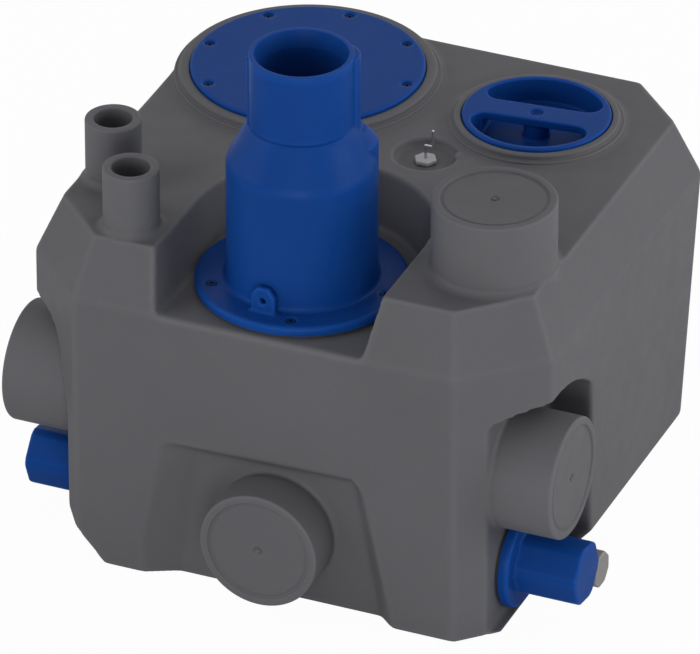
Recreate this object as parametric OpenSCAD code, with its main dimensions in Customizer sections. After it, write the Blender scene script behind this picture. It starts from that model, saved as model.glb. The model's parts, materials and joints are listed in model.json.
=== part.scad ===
// Sewage lifting station: a moulded tank with its covers, discharge valve, level rod and pump.
// Millimetres. +Z is up, -Y is the front, and the origin is the centre of the tank's underside.

/* [Tank] */
// Width of the tank across its side walls
tank_w = 490; // [440:1:540]
// Depth of the tank at its shoulder
tank_d = 483; // [440:1:540]
// Height of the flat deck
deck_z = 321; // [290:1:360]
// Drop of the sloped shoulder below the deck
shoulder_drop = 53; // [30:1:70]
// Horizontal run of the sloped shoulder at the front, the back and the corners
shoulder_run = 23; // [12:1:40]
// Horizontal run of the sloped shoulder at the sides
side_run = 21; // [12:1:40]
// Leg of the cut corners, on the walls
corner_cut = 65.5; // [40:0.5:90]
// Lean of the back wall, from the shoulder down to the floor
back_lean = 46; // [0:1:60]
// Height of the bevel along the foot of the side walls
foot_bevel_z = 40; // [20:1:60]
// Run of the bevel along the foot of the side walls
foot_bevel_x = 34; // [15:1:50]
// Wall thickness of the moulding
wall = 6; // [4:0.5:8]
// Rounding of the outer edges
edge_r = 4; // [3:1:10]
// Rounding of the edges of the foot
foot_r = 2; // [1:0.5:4]

/* [Valve recess] */
// Sideways place of the discharge valve
valve_x = -5; // [-20:1:20]
// Distance from the tank's middle forward to the valve
valve_front = 142; // [130:1:150]
// Radius of the recess at deck height
recess_r_top = 107; // [100:1:115]
// Radius of the recess at its floor
recess_r = 97; // [96:0.5:99]
// Distance from the valve back to the centre of the recess's round end
recess_back = 21; // [15:1:30]

/* [Inlet spigots] */
// Outer diameter of the drain pipe that the four inlets take
inlet_d = 110; // [100:1:125]
// Distance from the middle to the end of each side inlet
side_inlet_end = 260; // [250:1:280]
// Distance from the middle forward to the side inlets
side_inlet_front = 165; // [150:1:168]
// Height of the side inlets
side_inlet_z = 146; // [144:1:155]
// Sideways place of the front inlet
front_inlet_x = 7; // [-15:1:20]
// Height of the front inlet
front_inlet_z = 70; // [62:1:85]
// Reach of the front inlet beyond the front wall
front_inlet_out = 29; // [10:1:50]
// Sideways place of the top inlet
top_inlet_x = 170; // [160:1:175]
// Distance from the middle forward to the top inlet
top_inlet_front = 129; // [115:1:140]
// Height of the top inlet above the deck
top_inlet_h = 67; // [40:1:90]

/* [Pockets] */
// Distance from the middle to the floor of the right pocket
pocket_right_x = 201.5; // [196:0.5:215]
// Distance from the middle to the floor of the left pocket
pocket_left_x = 193; // [180:1:215]
// Top of the arch of the side pockets
pocket_top = 224; // [215:1:235]
// Distance from the middle forward to the back end of the side pockets
pocket_back = 82; // [60:1:86]
// Radius of the arch of the side pockets
pocket_arch_r = 126; // [110:1:180]
// Depth of the niche in the front wall
niche_depth = 15; // [6:1:20]
// Height of the niche
niche_top = 143; // [130:1:160]

/* [Vent tubes] */
// Outer diameter of the two vent tubes
tube_d = 50; // [40:1:54]
// Wall of the vent tubes
tube_wall = 8; // [4:0.5:9]
// Height of the vent tubes above the deck
tube_h = 59; // [40:1:80]

/* [Pump cover] */
// Distance from the middle to the left, of the pump cover
cover_left = 109; // [104:1:112]
// Distance from the tank's back forward to the pump cover and the inspection cap
cover_inset = 126.5; // [126:0.5:134]
// Diameter of the pump cover
cover_d = 210.5; // [206:0.5:216]
// Thickness of the pump cover
cover_t = 6; // [4:0.5:8]
// Diameter of the circle of cover screws
cover_pcd = 191; // [188:1:195]
// Number of cover screws
cover_screws_n = 8; // [6:1:12]

/* [Inspection cap] */
// Distance from the middle to the right, of the inspection cap
cap_right = 111; // [104:1:116]
// Diameter of the cap's flange
cap_d = 133; // [126:1:138]
// Depth of the finger wells
well_depth = 24; // [16:1:30]
// Width of the grip bar
grip_w = 26; // [18:1:30]
// Turn of the grip bar from the sideways line
grip_turn = 5.5; // [-20:0.5:20]

/* [Discharge valve] */
// Outer diameter of the hose neck
neck_d = 91; // [84:1:96]
// Bore of the hose neck
neck_bore = 76; // [70:1:80]
// Length of the hose neck
neck_l = 68; // [50:1:90]
// Outer diameter of the valve barrel
barrel_d = 132; // [126:1:136]
// Height of the valve barrel above its flange
barrel_h = 119; // [112:1:130]
// Height of the cone between barrel and neck
cone_h = 33; // [24:1:45]
// Diameter of the valve flange
flange_d = 188; // [180:1:190]
// Thickness of the valve flange
flange_t = 9; // [7:0.5:12]
// Number of flange screws
flange_screws_n = 5; // [4:1:8]

/* [Pump] */
// Diameter of the motor casing
motor_d = 124; // [116:1:128]
// Height of the motor casing
motor_h = 160; // [155:1:175]
// Diameter of the pump housing
volute_d = 148; // [144:1:150]
// Bore of the pressure pipe
pipe_bore = 46; // [40:1:48]
// Wall of the pressure pipe
pipe_wall = 4; // [3:0.5:5]
// Number of impeller blades
blades_n = 6; // [4:1:7]

/* [Level rod] */
// Sideways place of the level rod
rod_x = 42; // [38:1:46]
// Distance from the middle back to the level rod
rod_back = 25; // [22:1:30]
// Diameter of the level rod
rod_d = 2.4; // [2:0.2:4]
// Diameter of the float
float_d = 56; // [40:1:60]
// Height of the float
float_h = 60; // [40:1:70]

/* [Side plugs] */
// Height of the side plugs
plug_z = 46.5; // [45:0.5:48]
// Distance from the middle forward to the side plugs
plug_front = 157; // [150:1:160]
// Diameter of the plug flange
plug_flange_d = 87; // [70:1:88]
// Width across the corners of the plug body
plug_hex_d = 61; // [50:1:64]
// Length of the right plug body
plug_right_l = 58; // [35:1:70]
// Length of the left plug body
plug_left_l = 50; // [35:1:60]

/* [Hidden] */
$fn = 96;
eps = 0.01;
fit = 0.05;
slack = 0.3;

half_w = tank_w / 2;
half_d = tank_d / 2;
shoulder_z = deck_z - shoulder_drop;
deck_half_w = half_w - side_run;
deck_half_d = half_d - shoulder_run;
deck_cut = corner_cut - side_run - shoulder_run + shoulder_run * sqrt(2);

inlet_r = inlet_d / 2;
inlet_wall = 5;
tube_r = tube_d / 2;
tube_bore_r = tube_r - tube_wall;
tube_back_x = -195;
tube_back_y = -117;
tube_front_x = -146;
tube_front_y = -189;

valve_y = -valve_front;
recess_y = valve_y + recess_back;
recess_z = shoulder_z;

cover_x = -cover_left;
cap_x = cap_right;
covers_y = half_d - cover_inset;
cover_r = cover_d / 2;
collar_step_z = deck_z + 3.5;
cover_collar_r = cover_r + 10;
cover_collar_z = deck_z + 8.5;
cover_seat_z = deck_z + 4;
cover_hole_r = cover_pcd / 2 - 10.5;
cover_gasket_t = 2;
cover_z = cover_seat_z + cover_gasket_t;
cover_top = cover_z + cover_t;
insert_r = 4;
insert_l = 13;
cover_boss_t = 20;
screw_r = 2.5;
screw_head_r = 4.4;
screw_head_h = 2.6;

cap_r = cap_d / 2;
cap_seat_z = deck_z + 3;
cap_collar_r = cap_r + 7;
cap_collar_z = deck_z + 8;
cap_skirt_r = cap_r - 2.9;
cap_skirt_wall = 3;
cap_hole_r = cap_skirt_r + slack;
ring_r = 1.1;
ring_path_r = cap_hole_r + ring_r + 0.15;
cap_z = cap_seat_z + 2 * ring_r + 0.2;
cap_t = 5;
cap_top = cap_z + cap_t;
well_z = cap_top - well_depth;
well_r = cap_skirt_r - cap_skirt_wall;
grip_t = 8;
cap_post_r = 11.6;
well_corner = 13;

dish_r = 29.5;
dish_depth = 8;
dish_z = deck_z - dish_depth;
rod_y = rod_back;
rod_r = rod_d / 2;
guide_hex_r = 10.5;
guide_hex_h = 4.5;
guide_shank_r = 7;
guide_top = dish_z + guide_hex_h;
rod_rise = 12;
rod_jog = 7;
rod_tip = 16;
float_z = 62;
float_stop_t = 3;

valve_gasket_t = 2;
flange_z = recess_z + valve_gasket_t;
flange_top = flange_z + flange_t;
flange_r = flange_d / 2;
flange_pcd_r = flange_r - 14;
flange_turn = -74;
rib_turn = 30;
bead_turn = 203;
barrel_r = barrel_d / 2;
barrel_wall = 5.5;
barrel_top = flange_top + barrel_h;
cone_top = barrel_top + cone_h;
neck_top = cone_top + neck_l;
neck_r = neck_d / 2;
neck_bore_r = neck_bore / 2;
port_r = 40;
seat_r = 50;
seat_t = 4;
seat_top = flange_top + seat_t;
lug_w = 23;
lug_h = 24;
lug_t = 6;
lug_r = barrel_r + 6.5;
lug_turn = -94;
lip = 3;
socket_stop_h = 10;
socket_stop_r = neck_bore_r - 3;
lug_hole_r = 3;

flap_r = 47;
flap_t = 5;
flap_z = seat_top + slack;
hinge_off = flap_r + 6;
hinge_y = valve_y + hinge_off;
hinge_z = flap_z + 9;
hinge_pin_r = 3;
hinge_pin_l = 46;
knuckle_w = 22;
knuckle_r = 6;

pocket_lip = 2.5;
plug_y = -plug_front;
plug_bore_r = 24;
plug_flange_t = 10;
plug_seal_t = 2;
plug_turn = 22;
drain_y = -105;
drain_z = 19;
drain_neck_l = 24;
drain_l = 64;
drain_r = 7;
drain_head_r = 17;

floor_z = wall;
foot_h = 16;
volute_z = floor_z + foot_h;
volute_h = 55;
volute_r = volute_d / 2;
volute_wall = 5;
outlet_z = volute_z + volute_h / 2;
pipe_r = pipe_bore / 2 + pipe_wall;
pipe_bore_r = pipe_bore / 2;
elbow_r = 52;
volute_in_r = volute_r - volute_wall;
motor_z = volute_z + volute_h;
motor_r = motor_d / 2;
motor_wall = 8;
motor_top = motor_z + motor_h;
lid_t = 14;
lid_screw_r = 3;
lid_head_r = 5;
lid_head_h = 4;
lid_screw_in = 14;
shaft_r = 8;
bearing_r = 20;
bearing_h = 13;
bearing_low_z = motor_z + 14;
bearing_top_z = motor_top - bearing_h - 9;
impeller_r = volute_in_r - 14;
impeller_z = volute_z + 14;
impeller_h = 24;
suction_r = 27;
stator_h = motor_h - 76;
stator_z = motor_z + 46;
rotor_r = 30;
stator_bore_r = rotor_r + 0.6;
stator_r = motor_r - motor_wall - fit;

// The pipe leaves the pump housing on a tangent and runs straight to the foot of the riser
run_x = valve_x - cover_x;
run_y = valve_y - covers_y;
run_l = sqrt(run_x * run_x + run_y * run_y);
tangent_off = volute_in_r - pipe_bore_r - 1;
pipe_l = sqrt(run_l * run_l - tangent_off * tangent_off);
run_angle = atan2(run_y, run_x) + asin(tangent_off / run_l);
outlet_l = volute_r + 16;
sleeve_l = 50;
sleeve_t = 4;
riser_flange_r = flange_r - 4;
riser_flange_t = 8;
riser_top = recess_z - wall;
nut_h = 5;

// Colours
grey_moulding = [0.37, 0.37, 0.385];
blue_plastic = [0.08, 0.25, 0.56];
light_grey = [0.6, 0.6, 0.62];
black_rubber = [0.08, 0.08, 0.08];
zinc = [0.35, 0.36, 0.38];

// Octagon with cut corners, given by its four sides
module cut_square(half_x, front, back, cut) {
    polygon([
        [-half_x + cut, -front], [half_x - cut, -front], [half_x, -front + cut],
        [half_x, back - cut], [half_x - cut, back], [-half_x + cut, back],
        [-half_x, back - cut], [-half_x, -front + cut]
    ]);
}

// One level of the moulding's outline, drawn in from its faces by inset
module outline_level(z, half_x, front, back, cut, inset, round_r) {
    in = inset + round_r;
    cut_in = cut - in * (2 - sqrt(2));
    corners = [
        [-half_x + in + cut_in, -front + in], [half_x - in - cut_in, -front + in],
        [half_x - in, -front + in + cut_in], [half_x - in, back - in - cut_in],
        [half_x - in - cut_in, back - in], [-half_x + in + cut_in, back - in],
        [-half_x + in, back - in - cut_in], [-half_x + in, -front + in + cut_in]
    ];
    for (c = corners) translate([c[0], c[1], z]) sphere(r = round_r, $fn = 16);
}

// The bare form of the moulding, with rounded edges
module rounded_form() {
    hull() {
        outline_level(deck_z - edge_r, deck_half_w, deck_half_d, deck_half_d, deck_cut, 0, edge_r);
        outline_level(shoulder_z - edge_r / 4, half_w, half_d, half_d, corner_cut, 0, edge_r);
        outline_level(foot_r, half_w, half_d, half_d - back_lean, corner_cut, 0, foot_r);
    }
}

// The same form drawn in by the wall, with sharp edges
module inner_form() {
    cut_in = wall * (2 - sqrt(2));
    hull() {
        translate([0, 0, deck_z - wall - eps]) linear_extrude(eps)
            cut_square(deck_half_w - wall, deck_half_d - wall, deck_half_d - wall, deck_cut - cut_in);
        translate([0, 0, shoulder_z]) linear_extrude(eps)
            cut_square(half_w - wall, half_d - wall, half_d - wall, corner_cut - cut_in);
        translate([0, 0, wall]) linear_extrude(eps)
            cut_square(half_w - wall, half_d - wall, half_d - wall - back_lean, corner_cut - cut_in);
    }
}

// Wedge that bevels the foot of one side wall, grown inwards by grow
module foot_wedge(side, grow, y_from, y_to, run, rise) {
    lean = atan2(rise, run);
    translate([side * (half_w - run - grow / sin(lean)), 0, 0])
        mirror([side < 0 ? 1 : 0, 0, 0])
            rotate([0, -lean, 0])
                translate([-wall * 4, y_from, -200]) cube([run * 4, y_to - y_from, 200]);
}

// U-shaped notch round the discharge valve, grown by grow
module recess_notch(grow) {
    low = recess_z - grow;
    high = deck_z + 1;
    r_low = recess_r + grow;
    r_high = recess_r_top + grow;
    hull() {
        for (level = [[low, r_low], [high, r_high]])
            translate([0, 0, level[0]]) linear_extrude(eps) {
                translate([valve_x, recess_y]) circle(r = level[1], $fn = 64);
                translate([valve_x - level[1], -half_d - 60]) square([2 * level[1], half_d + 60 + recess_y]);
            }
    }
}

// Pocket round a side inlet, with an arched top, grown by grow; the right one leaves a thin lip at the floor
module side_pocket(side, floor_x, grow) {
    x0 = floor_x - grow;
    y1 = -pocket_back + grow;
    arch_z = pocket_top - pocket_arch_r;
    low_z = side > 0 ? pocket_lip - grow : -50;
    mirror([side < 0 ? 1 : 0, 0, 0]) difference() {
        union() {
            translate([x0, -half_d - 60, low_z]) cube([120, half_d + 60 + y1, arch_z - low_z]);
            intersection() {
                translate([x0, -side_inlet_front, arch_z]) rotate([0, 90, 0])
                    cylinder(r = pocket_arch_r + grow, h = 120);
                translate([x0, -half_d - 60, arch_z - eps])
                    cube([120, half_d + 60 + y1, pocket_arch_r + 2 * grow]);
            }
        }
        if (side < 0) pocket_cheek(grow);
    }
}

// Cheek that closes the upper front corner of the left pocket
module pocket_cheek(grow) {
    translate([100, 0, 0]) rotate([90, 0, 90]) linear_extrude(220) polygon([
        [-300, 135 + grow], [-229 - grow, 135 + grow], [-217.5 - grow, 185 + grow],
        [-216 - grow, 200 + grow], [-209 - grow, 213 + grow], [-190 - grow, 226 + grow],
        [-190 - grow, 260], [-300, 260]
    ]);
}

// Tapered niche round the front inlet, grown by grow
module front_niche(grow) {
    y_back = -half_d + niche_depth + grow;
    hull() {
        translate([0, -half_d - 1, 0]) rotate([90, 0, 0]) linear_extrude(eps)
            polygon([
                [-119 - grow, -5], [-119 - grow, 36], [-101 - grow, niche_top - 6 + grow],
                [-93 - grow, niche_top + grow], [84 + grow, niche_top + 4 + grow],
                [95 + grow, niche_top - 10 + grow], [125 + grow, -5]
            ]);
        translate([0, y_back, 0]) rotate([90, 0, 0]) linear_extrude(eps)
            polygon([
                [-86 - grow, -5], [-66 - grow, niche_top - 13 + grow],
                [80 + grow, niche_top - 9 + grow], [106 + grow, -5]
            ]);
    }
}

// Closed pipe spigot along +Z, ending at z = 0, that stands out by reach and is rooted below that
module spigot(reach, root) {
    face_r = inlet_r * 0.86;
    root_lip = 1.5;
    root_h = 3;
    translate([0, 0, -reach - root]) cylinder(r = inlet_r + root_lip, h = root);
    translate([0, 0, -reach - eps]) cylinder(r1 = inlet_r + root_lip, r2 = inlet_r, h = root_h + eps);
    difference() {
        translate([0, 0, -reach - root]) cylinder(r = inlet_r, h = reach + root);
        translate([0, 0, -1.2]) cylinder(r = face_r, h = 2);
        translate([0, 0, -2.4]) difference() {
            cylinder(r = face_r, h = 2);
            translate([0, 0, -1]) cylinder(r = face_r - 2.2, h = 4);
        }
        translate([0, 0, -3]) cylinder(r = 3, h = 3);
    }
    translate([0, 0, -3.5]) cylinder(r = 1.4, h = 2.6);
}

module spigot_hollow(length) {
    translate([0, 0, -length]) cylinder(r = inlet_r - inlet_wall, h = length - 2 * inlet_wall);
}

module at_right_inlet() {
    translate([side_inlet_end, -side_inlet_front, side_inlet_z]) rotate([0, 90, 0]) children();
}

module at_left_inlet() {
    translate([-side_inlet_end, -side_inlet_front, side_inlet_z]) rotate([0, -90, 0]) children();
}

module at_front_inlet() {
    translate([front_inlet_x, -half_d - front_inlet_out, front_inlet_z]) rotate([90, 0, 0]) children();
}

module at_top_inlet() {
    translate([top_inlet_x, -top_inlet_front, deck_z + top_inlet_h]) children();
}

module at_tubes() {
    translate([tube_back_x, tube_back_y, deck_z]) children();
    translate([tube_front_x, tube_front_y, deck_z]) children();
}

module at_cover_screws() {
    for (i = [0 : cover_screws_n - 1])
        translate([cover_x, covers_y, 0]) rotate([0, 0, i * 360 / cover_screws_n])
            translate([cover_pcd / 2, 0, 0]) children();
}

module at_flange_screws() {
    for (i = [0 : flange_screws_n - 1])
        translate([valve_x, valve_y, 0]) rotate([0, 0, flange_turn + i * 360 / flange_screws_n])
            translate([flange_pcd_r, 0, 0]) children();
}

side_reach_right = side_inlet_end - pocket_right_x;
side_reach_left = side_inlet_end - pocket_left_x;
front_reach = front_inlet_out + niche_depth;
shoulder_root = 24;

module tank_outside() {
    difference() {
        rounded_form();
        foot_wedge(1, 0, -half_d - 1, half_d + 1, foot_bevel_x, foot_bevel_z);
        foot_wedge(-1, 0, -half_d - 1, half_d + 1, foot_bevel_x, foot_bevel_z);
        recess_notch(0);
        side_pocket(1, pocket_right_x, 0);
        side_pocket(-1, pocket_left_x, 0);
        left_corner_wedge(0);
        front_niche(0);
        translate([rod_x, rod_y, dish_z]) cylinder(r1 = dish_r - 3, r2 = dish_r, h = dish_depth + eps);
    }
    at_right_inlet() spigot(side_reach_right, wall);
    at_left_inlet() spigot(side_reach_left, wall);
    at_front_inlet() spigot(front_reach, wall);
    at_top_inlet() spigot(top_inlet_h, shoulder_root);
    at_tubes() {
        translate([0, 0, -shoulder_root]) cylinder(r = tube_r + 1.2, h = shoulder_root);
        translate([0, 0, -wall]) cylinder(r = tube_r, h = tube_h + wall);
        translate([0, 0, -1]) cylinder(r1 = tube_r + 5, r2 = tube_r, h = 5);
    }
    translate([cover_x, covers_y, 0]) {
        translate([0, 0, shoulder_z])
            cylinder(r = cover_collar_r + 4.5, h = collar_step_z - shoulder_z);
        translate([0, 0, deck_z - 1]) cylinder(r = cover_collar_r, h = cover_collar_z - deck_z + 1);
    }
    translate([cap_x, covers_y, 0]) {
        translate([0, 0, deck_z - 1]) cylinder(r = cap_collar_r + 5, h = collar_step_z - deck_z + 1);
        translate([0, 0, deck_z - 1])
            cylinder(r1 = cap_collar_r + 1, r2 = cap_collar_r, h = cap_collar_z - deck_z + 1);
    }
    translate([rod_x + dish_r - 2, rod_y + 9, dish_z]) cylinder(r = 4.5, h = dish_depth + 1);
}

// Bevel under the front end of the left side, where the pocket meets the floor
module left_corner_wedge(grow) {
    run = 40;
    rise = 46;
    lean = atan2(rise, run);
    translate([-pocket_left_x + run + grow / sin(lean), -half_d - 1, 0]) mirror([1, 0, 0])
        rotate([0, -lean, 0])
            translate([-20, 0, -200]) cube([120, half_d - plug_front - plug_flange_d / 2 - 1 + grow, 200]);
}

module tank_inside() {
    difference() {
        inner_form();
        foot_wedge(1, wall, -half_d, half_d, foot_bevel_x, foot_bevel_z);
        foot_wedge(-1, wall, -half_d, half_d, foot_bevel_x, foot_bevel_z);
        recess_notch(wall);
        side_pocket(1, pocket_right_x, wall);
        side_pocket(-1, pocket_left_x, wall);
        left_corner_wedge(wall);
        front_niche(wall);
        translate([rod_x, rod_y, dish_z - wall]) cylinder(r = dish_r + 3, h = 40);
        translate([cover_x, covers_y, cover_seat_z - cover_boss_t])
            cylinder(r = cover_r + 2, h = cover_boss_t);
    }
    at_right_inlet() spigot_hollow(side_reach_right + wall + 1);
    at_left_inlet() spigot_hollow(side_reach_left + wall + 1);
    at_front_inlet() spigot_hollow(front_reach + wall + 1);
    at_top_inlet() spigot_hollow(top_inlet_h + wall + 1);
}

module tank() {
    color(grey_moulding) difference() {
        tank_outside();
        tank_inside();
        at_tubes() translate([0, 0, -wall - 1]) cylinder(r = tube_bore_r, h = tube_h + wall + 2);
        translate([cover_x, covers_y, 0]) {
            translate([0, 0, deck_z - 40]) cylinder(r = cover_hole_r, h = 60);
            translate([0, 0, cover_seat_z]) cylinder(r = cover_r + slack, h = 20);
        }
        at_cover_screws() translate([0, 0, cover_seat_z - insert_l]) cylinder(r = insert_r + fit, h = 30);
        translate([cap_x, covers_y, 0]) {
            translate([0, 0, deck_z - 40]) cylinder(r = cap_hole_r, h = 60);
            translate([0, 0, cap_seat_z]) cylinder(r = cap_r + 0.7, h = 20);
        }
        translate([rod_x, rod_y, dish_z - wall - 1]) cylinder(r = guide_shank_r + fit, h = wall + 2);
        translate([valve_x, valve_y, recess_z - wall - 1]) cylinder(r = port_r, h = wall + 2);
        at_flange_screws() translate([0, 0, recess_z - wall - 1]) cylinder(r = 3.3, h = wall + 2);
        translate([pocket_right_x - wall - 1, plug_y, plug_z]) rotate([0, 90, 0])
            cylinder(r = plug_bore_r + slack, h = wall + 2);
        translate([-pocket_left_x - 1, plug_y, plug_z]) rotate([0, 90, 0])
            cylinder(r = plug_bore_r + slack, h = wall + 2);
        translate([pocket_right_x - wall - 1, drain_y, drain_z]) rotate([0, 90, 0])
            cylinder(r = drain_r + slack, h = wall + 2);
    }
}

module pump_cover() {
    color(blue_plastic) difference() {
        translate([cover_x, covers_y, 0]) {
            translate([0, 0, cover_z]) cylinder(r = cover_r, h = cover_t - 0.8);
            translate([0, 0, cover_top - 0.8]) cylinder(r1 = cover_r, r2 = cover_r - 0.8, h = 0.8);
            translate([0, 0, cover_z - 6]) cylinder(r = cover_hole_r - slack, h = 7);
        }
        translate([cover_x, covers_y, cover_z - 7]) cylinder(r = cover_hole_r - 6, h = 7);
        at_cover_screws() {
            translate([0, 0, cover_z - 1]) cylinder(r = screw_r + slack, h = cover_t + 2);
            translate([0, 0, cover_z + 1.6]) cylinder(r = screw_head_r + slack, h = cover_t);
        }
    }
}

module cover_gasket() {
    color(black_rubber) difference() {
        translate([cover_x, covers_y, cover_seat_z]) cylinder(r = cover_r - 1, h = cover_gasket_t);
        translate([cover_x, covers_y, cover_seat_z - 1]) cylinder(r = cover_hole_r, h = cover_gasket_t + 2);
        at_cover_screws() translate([0, 0, cover_seat_z - 1]) cylinder(r = screw_r + slack, h = 5);
    }
}

module cover_screws() {
    shank = 12;
    color(zinc) at_cover_screws() translate([0, 0, cover_z + 1.6]) {
        difference() {
            cylinder(r = screw_head_r, h = screw_head_h);
            translate([0, 0, 1]) cylinder(r = 1.7, h = 3, $fn = 6);
        }
        translate([0, 0, -shank]) cylinder(r = screw_r - fit, h = shank);
    }
}

module cover_inserts() {
    color("goldenrod") at_cover_screws() difference() {
        translate([0, 0, cover_seat_z - insert_l]) cylinder(r = insert_r, h = insert_l);
        translate([0, 0, cover_seat_z - insert_l + 1]) cylinder(r = screw_r, h = insert_l);
    }
}

// One of the two finger wells beside the grip bar
module finger_well(side) {
    translate([0, 0, well_z]) linear_extrude(well_depth + 1)
        offset(r = well_corner, $fn = 32) offset(delta = -well_corner)
            intersection() {
                circle(r = well_r, $fn = 96);
                translate([-well_r, side > 0 ? grip_w / 2 : -grip_w / 2 - well_r])
                    square([2 * well_r, well_r]);
            }
}

module inspection_cap() {
    color(blue_plastic) translate([cap_x, covers_y, 0]) difference() {
        union() {
            translate([0, 0, cap_z]) cylinder(r = cap_r, h = cap_t - 1.2);
            translate([0, 0, cap_top - 1.2]) cylinder(r1 = cap_r, r2 = cap_r - 1.2, h = 1.2);
            translate([0, 0, well_z - cap_skirt_wall])
                cylinder(r = cap_skirt_r, h = cap_z - well_z + cap_skirt_wall + 1);
        }
        rotate([0, 0, grip_turn]) {
            finger_well(1);
            finger_well(-1);
            difference() {
                translate([-well_r + well_corner, -grip_w / 2 - 1, well_z])
                    cube([2 * (well_r - well_corner), grip_w + 2, well_depth - grip_t]);
                translate([0, 0, well_z - 1]) cylinder(r = cap_post_r, h = well_depth);
            }
        }
        translate([0, 0, cap_top - 3]) cylinder(r = 6, h = 4);
    }
}

module cap_o_ring() {
    color(black_rubber) translate([cap_x, covers_y, cap_seat_z + ring_r + 0.1])
        rotate_extrude() translate([ring_path_r, 0]) circle(r = ring_r, $fn = 24);
}

// Upright eye on the valve flange
module flange_lug() {
    translate([lug_r, 0, flange_top - 1]) difference() {
        rotate([90, 0, 90]) translate([0, 0, -lug_t / 2]) linear_extrude(lug_t)
            polygon([
                [-lug_w / 2, 0], [lug_w / 2, 0], [lug_w / 2, lug_h * 0.7],
                [lug_w / 4, lug_h + 1], [-lug_w / 4, lug_h + 1], [-lug_w / 2, lug_h * 0.7]
            ]);
        translate([-lug_t, 0, lug_h * 0.5]) rotate([0, 90, 0]) cylinder(r = lug_hole_r, h = 2 * lug_t);
    }
}

// Round rib up the back right of the barrel and the neck, and a narrow bead up the neck's left
module valve_ribs() {
    difference() {
        union() {
            rotate([0, 0, rib_turn]) {
                translate([barrel_r - 24, 0, flange_top]) cylinder(r = 25, h = barrel_h + 13);
                translate([barrel_r - 24, 0, flange_top + barrel_h + 13]) cylinder(r1 = 25, r2 = 15, h = 12);
                translate([neck_r - 14, 0, barrel_top]) cylinder(r = 20, h = cone_h + neck_l - 2);
            }
            rotate([0, 0, bead_turn]) translate([neck_r - 3, 0, cone_top - 8])
                cylinder(r = 5, h = neck_l + 6);
        }
        translate([0, 0, flange_top - 1]) cylinder(r = barrel_r - 1, h = barrel_h + 1);
        translate([0, 0, barrel_top - eps]) cylinder(r1 = barrel_r - 1, r2 = neck_r - 1, h = cone_h);
        translate([0, 0, cone_top - 1]) cylinder(r = neck_r - 1, h = neck_l + 2);
    }
}

module discharge_valve_body() {
    inner_r = barrel_r - barrel_wall;
    boss_in = 13;
    boss_w = 11;
    color(blue_plastic) difference() {
        union() {
            translate([valve_x, valve_y, 0]) {
                rotate_extrude() polygon([
                    [port_r, flange_z], [flange_r - 1, flange_z], [flange_r, flange_z + 1],
                    [flange_r, flange_top - 2], [flange_r - 2, flange_top], [barrel_r + 2.5, flange_top],
                    [barrel_r + 1, flange_top + 1.5], [barrel_r + 0.4, flange_top + 5],
                    [barrel_r, barrel_top - 5], [barrel_r - 1.5, barrel_top],
                    [neck_r + 2.5, cone_top - 2], [neck_r + 0.5, cone_top], [neck_r, cone_top + 2],
                    [neck_r, neck_top - 1], [neck_r - 1, neck_top], [neck_bore_r + lip, neck_top],
                    [neck_bore_r, neck_top - lip - 1],
                    [neck_bore_r, cone_top + socket_stop_h], [socket_stop_r, cone_top + socket_stop_h],
                    [socket_stop_r, cone_top], [inner_r, barrel_top - 4], [inner_r, flange_top],
                    [port_r, flange_top]
                ]);
                rotate([0, 0, lug_turn]) flange_lug();
                valve_ribs();
            }
            for (side = [-1, 1]) intersection() {
                translate([valve_x + side * (boss_in + boss_w / 2) - boss_w / 2, hinge_y - 6, hinge_z - 6])
                    cube([boss_w, 20, 12]);
                translate([valve_x, valve_y, 0]) cylinder(r = inner_r + 1, h = barrel_top);
            }
        }
        at_flange_screws() {
            translate([0, 0, flange_z - 1]) cylinder(r = 3.3, h = flange_t + 2);
            translate([0, 0, flange_top - 3.5]) cylinder(r = 4.6, h = 5);
        }
        translate([valve_x - hinge_pin_l / 2 - slack, hinge_y, hinge_z]) rotate([0, 90, 0])
            cylinder(r = hinge_pin_r + fit, h = hinge_pin_l + 2 * slack);
    }
}

module flange_gasket() {
    color(black_rubber) difference() {
        translate([valve_x, valve_y, recess_z]) cylinder(r = flange_r - 2, h = valve_gasket_t);
        translate([valve_x, valve_y, recess_z - 1]) cylinder(r = port_r, h = valve_gasket_t + 2);
        at_flange_screws() translate([0, 0, recess_z - 1]) cylinder(r = 3.3, h = valve_gasket_t + 2);
    }
}

module flange_screws() {
    head_z = flange_top - 3.5;
    tip_z = riser_top - riser_flange_t - nut_h - 1;
    color(zinc) at_flange_screws() {
        translate([0, 0, head_z]) difference() {
            cylinder(r = 4.3, h = 3);
            translate([0, 0, 1]) cylinder(r = 2, h = 3, $fn = 6);
        }
        translate([0, 0, tip_z]) cylinder(r = 3, h = head_z - tip_z);
    }
}

module flange_nuts() {
    color(zinc) at_flange_screws() translate([0, 0, riser_top - riser_flange_t - nut_h]) difference() {
        cylinder(r = 6, h = nut_h, $fn = 6);
        translate([0, 0, -1]) cylinder(r = 3 + fit, h = nut_h + 2);
    }
}

module valve_seat() {
    color(black_rubber) translate([valve_x, valve_y, flange_top]) difference() {
        cylinder(r = seat_r, h = seat_t);
        translate([0, 0, -1]) cylinder(r = port_r, h = seat_t + 2);
    }
}

module check_flap() {
    color("dimgray") difference() {
        union() {
            translate([valve_x, valve_y, flap_z]) cylinder(r = flap_r, h = flap_t);
            translate([valve_x - knuckle_w / 2, hinge_y - 28, flap_z + flap_t - 1]) cube([knuckle_w, 28, 5]);
            translate([valve_x - knuckle_w / 2, hinge_y, hinge_z]) rotate([0, 90, 0])
                cylinder(r = knuckle_r, h = knuckle_w);
        }
        translate([valve_x - knuckle_w, hinge_y, hinge_z]) rotate([0, 90, 0])
            cylinder(r = hinge_pin_r + fit, h = 2 * knuckle_w);
    }
}

module flap_weight() {
    color(zinc) translate([valve_x, valve_y - 8, flap_z + flap_t]) cylinder(r = 26, h = 6);
}

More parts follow.
